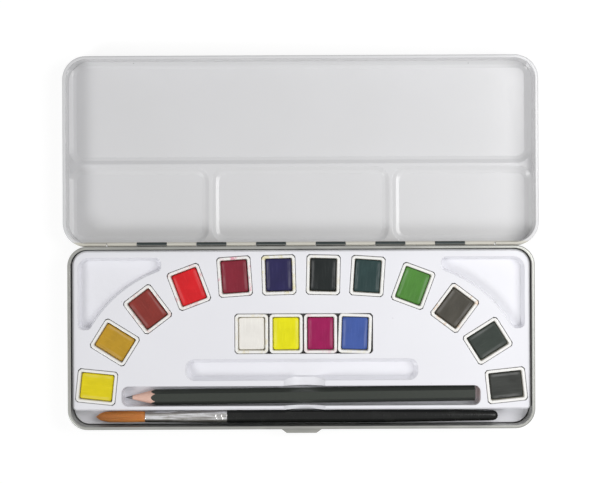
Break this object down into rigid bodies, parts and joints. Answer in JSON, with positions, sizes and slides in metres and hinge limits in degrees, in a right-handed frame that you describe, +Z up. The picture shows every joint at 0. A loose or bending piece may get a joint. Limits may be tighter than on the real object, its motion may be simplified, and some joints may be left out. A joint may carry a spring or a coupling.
{
  "type": "watercolour paint tin",
  "caption": "Shallow hinged tin whose lid opens into mixing wells, with a moulded white tray holding half pans of watercolour, a pencil and a round brush.",
  "frame": {"origin": "middle of the base tin's underside", "axes": "+X along the tin to the right, +Y from the thumb lip to the hinge, +Z up"},
  "size_m": [0.2302, 0.1828, 0.0135],
  "materials": {
    "tin_steel": "bare tinplate, lightly brushed",
    "pin_steel": "drawn wire",
    "enamel_white": "stoved white enamel inside, tinplate outside",
    "tray_plastic": "moulded, glossy white",
    "pan_plastic": "moulded, glossy white",
    "paint_yellow": "dried gum watercolour, part glossy",
    "paint_ochre": "dried gum watercolour, part glossy",
    "paint_brick": "dried gum watercolour, part glossy",
    "paint_red": "dried gum watercolour, part glossy",
    "paint_crimson": "dried gum watercolour, part glossy",
    "paint_indigo": "dried gum watercolour, part glossy",
    "paint_black": "dried gum watercolour, part glossy",
    "paint_teal": "dried gum watercolour, part glossy",
    "paint_green": "dried gum watercolour, part glossy",
    "paint_umber": "dried gum watercolour, part glossy",
    "paint_moss": "dried gum watercolour, part glossy",
    "paint_soot": "dried gum watercolour, part glossy",
    "paint_white": "dried gum watercolour, part glossy",
    "paint_lemon": "dried gum watercolour, part glossy",
    "paint_magenta": "dried gum watercolour, part glossy",
    "paint_blue": "dried gum watercolour, part glossy",
    "pencil_wood": "dark grey-green lacquer, bare wood at the point",
    "graphite": "soft graphite",
    "black_lacquer": "black gloss lacquer",
    "ferrule_metal": "polished nickel",
    "hair": "soft red-brown hair"
  },
  "bodies": {
    "base": {"base_tin": "tin_steel", "hinge_pin": "pin_steel"},
    "lid": {"lid": "enamel_white"},
    "tray": {"tray": "tray_plastic"},
    "pan_01": {"pan_01": "pan_plastic", "paint_01": "paint_yellow"},
    "pan_02": {"pan_02": "pan_plastic", "paint_02": "paint_ochre"},
    "pan_03": {"pan_03": "pan_plastic", "paint_03": "paint_brick"},
    "pan_04": {"pan_04": "pan_plastic", "paint_04": "paint_red"},
    "pan_05": {"pan_05": "pan_plastic", "paint_05": "paint_crimson"},
    "pan_06": {"pan_06": "pan_plastic", "paint_06": "paint_indigo"},
    "pan_07": {"pan_07": "pan_plastic", "paint_07": "paint_black"},
    "pan_08": {"pan_08": "pan_plastic", "paint_08": "paint_teal"},
    "pan_09": {"pan_09": "pan_plastic", "paint_09": "paint_green"},
    "pan_10": {"pan_10": "pan_plastic", "paint_10": "paint_umber"},
    "pan_11": {"pan_11": "pan_plastic", "paint_11": "paint_moss"},
    "pan_12": {"pan_12": "pan_plastic", "paint_12": "paint_soot"},
    "pan_13": {"pan_13": "pan_plastic", "paint_13": "paint_white"},
    "pan_14": {"pan_14": "pan_plastic", "paint_14": "paint_lemon"},
    "pan_15": {"pan_15": "pan_plastic", "paint_15": "paint_magenta"},
    "pan_16": {"pan_16": "pan_plastic", "paint_16": "paint_blue"},
    "pencil": {"pencil_casing": "pencil_wood", "pencil_lead": "graphite"},
    "brush": {"brush_handle": "black_lacquer", "brush_ferrule": "ferrule_metal", "brush_bristles": "hair"}
  },
  "joints": [
    {"name": "lid_hinge", "type": "hinge", "parent": "base", "child": "lid", "pos_m": [0, 0.0451, 0.0113], "axis": [-1, 0, 0], "range_deg": [-180, 0]},
    {"name": "tray_lift", "type": "slide", "parent": "base", "child": "tray", "axis": [0, 0, 1], "range_m": [0, 0.03]},
    {"name": "pan_01_lift", "type": "slide", "parent": "tray", "child": "pan_01", "axis": [0, 0, 1], "range_m": [0, 0.015]},
    {"name": "pan_02_lift", "type": "slide", "parent": "tray", "child": "pan_02", "axis": [0, 0, 1], "range_m": [0, 0.015]},
    {"name": "pan_03_lift", "type": "slide", "parent": "tray", "child": "pan_03", "axis": [0, 0, 1], "range_m": [0, 0.015]},
    {"name": "pan_04_lift", "type": "slide", "parent": "tray", "child": "pan_04", "axis": [0, 0, 1], "range_m": [0, 0.015]},
    {"name": "pan_05_lift", "type": "slide", "parent": "tray", "child": "pan_05", "axis": [0, 0, 1], "range_m": [0, 0.015]},
    {"name": "pan_06_lift", "type": "slide", "parent": "tray", "child": "pan_06", "axis": [0, 0, 1], "range_m": [0, 0.015]},
    {"name": "pan_07_lift", "type": "slide", "parent": "tray", "child": "pan_07", "axis": [0, 0, 1], "range_m": [0, 0.015]},
    {"name": "pan_08_lift", "type": "slide", "parent": "tray", "child": "pan_08", "axis": [0, 0, 1], "range_m": [0, 0.015]},
    {"name": "pan_09_lift", "type": "slide", "parent": "tray", "child": "pan_09", "axis": [0, 0, 1], "range_m": [0, 0.015]},
    {"name": "pan_10_lift", "type": "slide", "parent": "tray", "child": "pan_10", "axis": [0, 0, 1], "range_m": [0, 0.015]},
    {"name": "pan_11_lift", "type": "slide", "parent": "tray", "child": "pan_11", "axis": [0, 0, 1], "range_m": [0, 0.015]},
    {"name": "pan_12_lift", "type": "slide", "parent": "tray", "child": "pan_12", "axis": [0, 0, 1], "range_m": [0, 0.015]},
    {"name": "pan_13_lift", "type": "slide", "parent": "tray", "child": "pan_13", "axis": [0, 0, 1], "range_m": [0, 0.015]},
    {"name": "pan_14_lift", "type": "slide", "parent": "tray", "child": "pan_14", "axis": [0, 0, 1], "range_m": [0, 0.015]},
    {"name": "pan_15_lift", "type": "slide", "parent": "tray", "child": "pan_15", "axis": [0, 0, 1], "range_m": [0, 0.015]},
    {"name": "pan_16_lift", "type": "slide", "parent": "tray", "child": "pan_16", "axis": [0, 0, 1], "range_m": [0, 0.015]},
    {"name": "pencil_lift", "type": "slide", "parent": "tray", "child": "pencil", "axis": [0, 0, 1], "range_m": [0, 0.02]},
    {"name": "brush_lift", "type": "slide", "parent": "tray", "child": "brush", "axis": [0, 0, 1], "range_m": [0, 0.02]}
  ]
}
